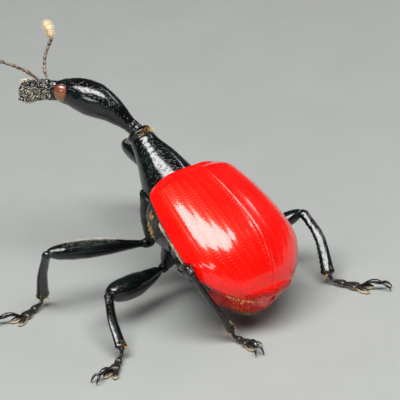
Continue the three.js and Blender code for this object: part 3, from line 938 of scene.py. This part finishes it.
def femur_relief(t, a, where):
    groove = -0.03 * bell(a - 1.5 * math.pi, 0.5) * np.clip((t - 0.8) * 8, 0, 1)
    return groove + 0.008 * soft_noise(where, 0.4, 17)


def femur_club(name, joint, knee, outward, thigh, sag):
    route = Route([joint - 0.1 * outward, joint * 0.45 + knee * 0.55 - sag * UP, knee])
    shape = profile([[0, 0.1], [0.03, 0.18], [0.08, 0.2], [0.12, 0.15], [0.2, 0.5 * thigh],
                     [0.38, 0.8 * thigh], [0.56, thigh], [0.74, thigh], [0.86, 0.9 * thigh],
                     [0.94, 0.7 * thigh], [0.985, 0.45 * thigh], [1, 0.06]])
    tube(f"femur_club_{name}", route, shape, shape, UP, limb_black, sides=48, rings=110,
         relief=femur_relief, replaces=[f"femur_{name}"])
    if name.startswith("front"):
        fringes.append((f"femur_fringe_{name}", route, shape))


# %% Tibia
tibia_depth = profile([[0, 0.1], [0.05, 0.2], [0.12, 0.19], [0.2, 0.185], [0.6, 0.22], [0.88, 0.25],
                       [0.97, 0.27], [1, 0.15]])
tibia_width = profile([[0, 0.09], [0.05, 0.17], [0.12, 0.15], [0.2, 0.12], [0.6, 0.13], [0.88, 0.16],
                       [0.97, 0.18], [1, 0.1]])


def tibia_relief(t, a, where):
    keel = 0.03 * bell(a - 1.5 * math.pi, 0.3) * (0.5 + 0.5 * np.sin(t * 95)) * (t > 0.2)
    return keel + 0.006 * soft_noise(where, 0.25, 19)


def ankle_width(t):
    return 0.17 + 0 * t


def tibia_rod(name, knee, ankle, outward, bow):
    middle = knee * 0.5 + ankle * 0.5 + np.array(bow, float)
    route = Route([knee * 1.04 - middle * 0.04, middle, ankle])
    tube(f"tibia_rod_{name}", route, tibia_width, tibia_depth, outward, limb_black,
         sides=36, rings=110, relief=tibia_relief, replaces=[f"tibia_{name}"])
    cuff = Route([route.at(0.86), route.at(0.93), ankle])
    hair_jobs.append((f"ankle_hairs_{name}", cuff, ankle_width, outward, 60, 0.12))


# %% [markdown]
# ## Feet
#
# A foot is a thin stalk, two joints that widen forward, a pad of two lobes and an
# arched claw joint with two hooks. Soft soles would spread on the floor, so every vertex
# below the sole's level is lifted to it, which leaves the flat print.

# %% Foot joints and pad
SOLE = 0.004
PAD_MIDDLE = 0.13
HEEL_HEIGHT = 0.24
CLAW_HEIGHT = 0.05
LOBE_SIZES = (0.32, 0.14, 0.13)
FLAT = np.array([1, 1, 0])
stalk_shape = profile([[0, 0.1], [0.4, 0.07], [1, 0.1]])
joint_height = profile([[0, 0.06], [0.3, 0.09], [0.8, 0.12], [1, 0.04]])
FOOT_JOINTS = (
    ((0.0, 0.2, 0.42), profile([[0, 0.06], [0.3, 0.09], [0.8, 0.15], [0.94, 0.14], [1, 0.05]])),
    ((0.36, 0.55, 0.86), profile([[0, 0.07], [0.25, 0.13], [0.75, 0.23], [0.93, 0.2], [1, 0.06]])),
)


def hand_name(hand):
    return "left" if hand > 0 else "right"


def foot(name, ankle, heel, pad_place, along, across):
    stalk = Route([ankle + [0, 0, 0.04], heel, heel * 0.7 + pad_place * 0.3])
    tube(f"foot_stalk_{name}", stalk, stalk_shape, stalk_shape, across, limb_black,
         sides=20, rings=24, replaces=[f"tarsus_{name}"])
    for number, (spots, width) in enumerate(FOOT_JOINTS, 1):
        route = Route([heel + (pad_place - heel) * spot for spot in spots])
        tube(f"foot_joint_{number}_{name}", route, width, joint_height, UP, foot_finish,
             sides=32, rings=34, sole=SOLE)
    for hand in (1, -1):
        egg(f"foot_lobe_{hand_name(hand)}_{name}",
            pad_place + along * 0.06 + across * hand * 0.15 - np.array([0, 0, 0.02]),
            [unit(along + 0.3 * hand * across), unit(across - 0.3 * hand * along), UP],
            LOBE_SIZES, foot_finish, sides=32, rings=20, sole=SOLE)


# %% Claws and spurs
arch_shape = profile([[0, 0.05], [0.3, 0.065], [0.8, 0.1], [1, 0.07]])
hook_shape = profile([[0, 0.06], [0.5, 0.045], [1, 0.006]])
SPUR_THICKNESS = 0.04
spur_shape = profile([[0, SPUR_THICKNESS], [0.6, SPUR_THICKNESS * 0.6], [1, SPUR_THICKNESS * 0.08]])


def spur(name, base, tip):
    hint = np.cross(tip - base, UP + 0.01 * head_left)
    tube(name, Route([base, base * 0.5 + tip * 0.5, tip]), spur_shape, spur_shape, hint, spine_finish,
         sides=8, rings=10)


def claws(name, ankle, pad_place, claw_place, along, across):
    arch = Route([pad_place - 0.1 * along + [0, 0, 0.06],
                  pad_place * 0.6 + claw_place * 0.4 + [0, 0, 0.32],
                  pad_place * 0.15 + claw_place * 0.85 + [0, 0, 0.27]])
    tube(f"claw_joint_{name}", arch, arch_shape, arch_shape, across, limb_black, sides=20,
         rings=36)
    reach = unit((claw_place - pad_place) * FLAT)
    spread = np.array([-reach[1], reach[0], 0.0])
    end = arch.at(0.96)
    for hand in (1, -1):
        hook = Route([end, end + 0.17 * reach + hand * 0.12 * spread - [0, 0, 0.03],
                      claw_place + hand * 0.16 * spread + 0.2 * reach + [0, 0, 0.04],
                      claw_place + hand * 0.13 * spread + 0.14 * reach - [0, 0, 0.02]])
        tube(f"claw_{hand_name(hand)}_{name}", hook, hook_shape, hook_shape, UP, limb_black,
             sides=12, rings=28, sole=SOLE)
        spur(f"spur_{hand_name(hand)}_{name}", ankle + hand * 0.12 * across + [0, 0, 0.1],
             ankle + hand * 0.3 * across - 0.1 * along + [0, 0, -0.1])


# %% Six legs


def leg(name, root, hip, knee, ankle, pad, claw, thigh, bow, sag=0.0):
    joint = on_body(*hip)
    knee = np.array(knee, float)
    ankle = np.array(ankle, float)
    outward = unit(knee - joint)
    coxa_cone(name, on_body(*root), joint, outward)
    femur_club(name, joint, knee, outward, thigh, sag)
    tibia_rod(name, knee, ankle, outward, bow)
    pad_place = np.array([pad[0], pad[1], PAD_MIDDLE])
    claw_place = np.array([claw[0], claw[1], CLAW_HEIGHT])
    heel = np.array([ankle[0], ankle[1], HEEL_HEIGHT]) * 0.88 + pad_place * 0.12
    along = unit((pad_place - heel) * FLAT)
    across = np.array([-along[1], along[0], 0.0])
    foot(name, ankle, heel, pad_place, along, across)
    claws(name, ankle, pad_place, claw_place, along, across)


for name, places in LEGS.items():
    leg(name, **places)
print("legs:", len(LEGS), "pieces so far:", len(every_piece))

# %% [markdown]
# ## Short hairs
#
# Stiff hairs catch the light on the clubs, the rostrum, the front femora and the
# ankles, along the flanks, round the tail and at the front of the prothorax.
# Particle hair would be lost on export, so each hair is a thin three-sided mesh
# spike, and all hairs of one place are joined in one mesh. Each hair also keeps a
# small patch on a map of the skin that it grows from.

# %% Hair finish and helper
HAIR_PATCH = 0.003


def hair_finish(name, root, tip):
    finish, tree, shader = new_finish(name, {"Roughness": 0.4, "IOR": 1.5})
    place = object_place(tree)
    patch = noise(tree, place, 0.2, detail=2.0)
    wire_up(tree, shader, Base_Color=blend_colours(tree, patch.between(0.35, 0.65), rgb(*root), rgb(*tip)))
    return finish


pale_hair = hair_finish("pale_hairs", (0.5, 0.42, 0.3), (0.85, 0.78, 0.62))
golden_hair = hair_finish("golden_hairs", (0.6, 0.3, 0.06), (0.9, 0.6, 0.2))
print("hair finishes:", pale_hair.name, golden_hair.name)

# %% Mesh of a group of hairs
HAIR_STAGES = ((0.0, 1.0), (0.55, 0.7), (1.0, 0.08))
HAIR_DROOP = 0.12


def hairs(name, roots, ways, root_uv, lengths, thickness, finish):
    verts = []
    faces = []
    uv = []
    for root, way, place, length in zip(roots, ways, root_uv, lengths):
        way = unit(way)
        one = unit(np.cross(way, UP + 0.3 * head_left))
        two = np.cross(way, one)
        start = len(verts)
        for share, size in HAIR_STAGES:
            centre = root + way * length * share - UP * HAIR_DROOP * length * share**2
            for k in range(3):
                angle = k * 2 * math.pi / 3
                verts.append(centre + (one * math.cos(angle) + two * math.sin(angle)) * thickness * size)
                uv.append(place + np.array([k / 3, share]) * HAIR_PATCH)
        for ring in range(2):
            for k in range(3):
                a = start + ring * 3 + k
                b = start + ring * 3 + (k + 1) % 3
                faces.append((a, b, b + 3, a + 3))
        faces.append((start, start + 2, start + 1))
        faces.append((start + 6, start + 7, start + 8))
    return make_piece(name, np.array(verts), faces, finish, uv=np.array(uv), uv_name="OFBake")


# %% Hairs on the lofts


def tube_hairs(name, route, width, up, count, length, finish, lean=0.6, arc=(0, 2 * math.pi),
               seed=1, span=(0.05, 0.98), thickness=0.006):
    rng = np.random.default_rng(seed)
    t = rng.uniform(*span, count)
    angle = rng.uniform(*arc, count)
    centre = route.at(t)
    along = route.direction(t)
    side = np.cross(along, up)
    side /= np.linalg.norm(side, axis=1, keepdims=True)
    top = np.cross(side, along)
    out = np.cos(angle)[:, None] * side + np.sin(angle)[:, None] * top
    roots = centre + out * (width(t)[:, None] - 0.01)
    ways = out + lean * along + rng.normal(size=(count, 3)) * 0.22
    uv = np.stack([angle / (2 * math.pi), t], 1) * (1 - HAIR_PATCH)
    return hairs(name, roots, ways, uv, length * rng.uniform(0.6, 1.2, count), thickness, finish)


for number, (name, route, width, up, count, length) in enumerate(hair_jobs):
    golden = name.startswith("ankle")
    tube_hairs(name, route, width, up, count, length, golden_hair if golden else pale_hair,
               seed=number + 1)

for name, route, width in fringes:
    tube_hairs(name, route, width, UP, 420, 0.13, pale_hair,
               arc=(0.3 * math.pi, 0.7 * math.pi), span=(0.35, 0.88), lean=0.5, seed=35, thickness=0.004)
tube_hairs("collar_hairs", prothorax_route, prothorax_width, dorsal, 90, 0.15, golden_hair,
           arc=(0.3 * math.pi, 0.72 * math.pi), span=(0.86, 0.94), lean=0.5, seed=31)
tube_hairs("rostrum_hairs", head_route, head_width, UP, 900, 0.1, pale_hair, span=(0.74, 0.98),
           lean=0.4, seed=32, thickness=0.011)
tube_hairs("brow_hairs", head_route, head_width, UP, 60, 0.1, pale_hair,
           arc=(0.2 * math.pi, 0.8 * math.pi), span=(0.5, 0.66), lean=0.6, seed=33, thickness=0.005)
print("hair groups on lofts:", len(hair_jobs) + len(fringes) + 3)

# %% [markdown]
# ## Hairs on the rear body
#
# A silvery line of flat hairs runs along each flank just under the wing case, gold
# tufts sit beside the leg roots and short bristles ring the tail. They could be
# painted as streaks, but real hairs lift off the edge and break the outline.

# %% Hairs on the rear body
BODY_HAIR_THICKNESS = 0.007


def body_hairs(name, stations, angles, count, length, finish, seed, lean=0.7, grow_out=1.0):
    """Hairs on the rear body between two stations and two turns round it, 0 being the left margin."""
    rng = np.random.default_rng(seed)
    s = rng.uniform(*stations, count)
    a = rng.uniform(*angles, count)
    roots = trunk_place(s, a)
    ways = np.array([grow_out * (math.cos(r) * left + math.sin(r) * dorsal) - lean * forward for r in a])
    ways += rng.normal(size=ways.shape) * 0.2
    uv = np.stack([a / (2 * math.pi) % 1, s / CASE_LENGTH], 1) * (1 - HAIR_PATCH)
    lengths = length * rng.uniform(0.6, 1.2, count)
    return hairs(name, roots, ways, uv, lengths, BODY_HAIR_THICKNESS, finish)


for side, sign in SIDES:
    turn = 0.0 if side == "left" else math.pi
    body_hairs(f"flank_line_{side}", (1.1, 3.2), sorted((turn - sign * 0.15, turn - sign * 0.23)), 620, 0.09,
               pale_hair, 41, lean=1.2, grow_out=0.4)
body_hairs("side_tuft", (0.4, 0.7), (-0.36, -0.22), 50, 0.12, golden_hair, 42, lean=0.3)
body_hairs("coxa_tuft", (0.5, 1.1), (-0.75, -0.5), 60, 0.1, golden_hair, 45, lean=0.3)
body_hairs("tail_bristles", (5.3, 5.8), (-2.4, -0.1), 130, 0.13, golden_hair, 43)


def rim_bristles():
    rng = np.random.default_rng(44)
    count = 120
    s = rng.uniform(5.1, CASE_LENGTH, count)
    sign = rng.choice([-1, 1], count)
    roots = np.array([on_body(q, k * (case_width(q) - 0.03), -0.1) for q, k in zip(s, sign)])
    ways = np.array([k * 0.3 * left - forward * 0.8 - 0.5 * dorsal for k in sign])
    ways += rng.normal(size=ways.shape) * 0.25
    uv = np.stack([sign * 0.25 + 0.5, s / CASE_LENGTH], 1) * (1 - HAIR_PATCH)
    lengths = 0.16 * rng.uniform(0.6, 1.2, count)
    return hairs("rim_bristles", roots, ways, uv, lengths, BODY_HAIR_THICKNESS, golden_hair)


rim_bristles()
print("hair pieces done; all pieces:", len(every_piece))

# %% [markdown]
# ## Floor
#
# The model stands on a plain pale sheet that reaches far beyond the picture. A
# curved backdrop would do too, but the camera looks down, so it never sees one.

# %% Floor
FLOOR_HALF = 0.25


def make_floor():
    mesh = bpy.data.meshes.new("pale_floor")
    corners = [(-FLOOR_HALF, -FLOOR_HALF, 0), (FLOOR_HALF, -FLOOR_HALF, 0), (FLOOR_HALF, FLOOR_HALF, 0),
               (-FLOOR_HALF, FLOOR_HALF, 0)]
    mesh.from_pydata(corners, [], [(0, 1, 2, 3)])
    finish, tree, shader = new_finish("pale_floor_sheet", {"Roughness": 0.7})
    grain = noise(tree, object_place(tree), 3.0, detail=3.0)
    wire_up(tree, shader, Base_Color=blend_colours(tree, grain, rgb(0.225, 0.233, 0.225),
                                                   rgb(0.255, 0.263, 0.248)))
    mesh.materials.append(finish)
    sheet = bpy.data.objects.new("pale_floor", mesh)
    bpy.context.scene.collection.objects.link(sheet)


make_floor()
print("floor, mm:", 2 * FLOOR_HALF / MM)

# %% [markdown]
# ## Camera
#
# The camera stands behind the beetle on its left and looks down on it, as one does
# with a small thing on a table. A long lens from 150 mm keeps the near legs from
# looking big. Its reach follows from how many pixels one millimetre should fill.

# %% Camera
CAMERA_AZIMUTH = math.radians(144.73)
CAMERA_RISE = math.radians(27.56)
CAMERA_ROLL = math.radians(-5.64)
CAMERA_DISTANCE = 0.150
AIM = Vector((-1.112, 1.259, 4.242)) * MM
SENSOR_MM = 36.0
PIXELS = 400
SCALE_PIXELS_PER_MM = 25.3

back = Vector((math.sin(CAMERA_AZIMUTH) * math.cos(CAMERA_RISE),
               -math.cos(CAMERA_AZIMUTH) * math.cos(CAMERA_RISE), math.sin(CAMERA_RISE)))
level_right = Vector((math.cos(CAMERA_AZIMUTH), math.sin(CAMERA_AZIMUTH), 0))
level_up = back.cross(level_right)
right = level_right * math.cos(CAMERA_ROLL) + level_up * math.sin(CAMERA_ROLL)
up = back.cross(right)

lens = bpy.data.cameras.new("photo_camera")
lens.sensor_width = SENSOR_MM
lens.lens = SCALE_PIXELS_PER_MM * CAMERA_DISTANCE / MM * SENSOR_MM / PIXELS
lens.clip_start = 0.002
lens.clip_end = 10
camera = bpy.data.objects.new("photo_camera", lens)
turned = Matrix((right, up, back)).transposed().to_4x4()
camera.matrix_world = Matrix.Translation(AIM + back * CAMERA_DISTANCE) @ turned
bpy.context.scene.collection.objects.link(camera)
bpy.context.scene.camera = camera
print("lens, mm:", round(lens.lens, 1))

# %% [markdown]
# ## Lights
#
# Gloss is what shows the form of a hard shell, so the lights are placed for their
# mirror images. A long box overhead, turned across the body, draws the broad mark
# on the left wing case, a low one lights the margin and the legs, and a far one
# edges the other side. The world stays dim so that black stays black.

# %% Lights
LIGHT_TARGET = Vector((0, 0, 4)) * MM


def soft_light(name, place_mm, size_mm, power, turn=0.0):
    lamp = bpy.data.lights.new(name, "AREA")
    lamp.shape = "RECTANGLE"
    lamp.size = size_mm[0] * MM
    lamp.size_y = size_mm[1] * MM
    lamp.energy = power
    light = bpy.data.objects.new(name, lamp)
    light.location = Vector(place_mm) * MM
    facing = (LIGHT_TARGET - light.location).to_track_quat("-Z", "Y")
    light.rotation_euler = (facing @ Quaternion((0, 0, 1), math.radians(turn))).to_euler()
    bpy.context.scene.collection.objects.link(light)
    print(name, "power, W:", power)


soft_light("overhead_softbox", (25, 31, 114), (54, 146), 0.38, turn=87)
soft_light("side_softbox", (102, 60, 44), (80, 14), 0.035)
soft_light("far_softbox", (-94, 19, 80), (70, 14), 0.02)

WORLD_STRENGTH = 0.035
world = bpy.data.worlds.new("studio")
bpy.context.scene.world = world
world.use_nodes = True
sky = world.node_tree.nodes["Background"]
sky.inputs["Color"].default_value = rgb(0.85, 0.88, 0.9)
sky.inputs["Strength"].default_value = WORLD_STRENGTH
bpy.context.scene.view_settings.view_transform = "Standard"
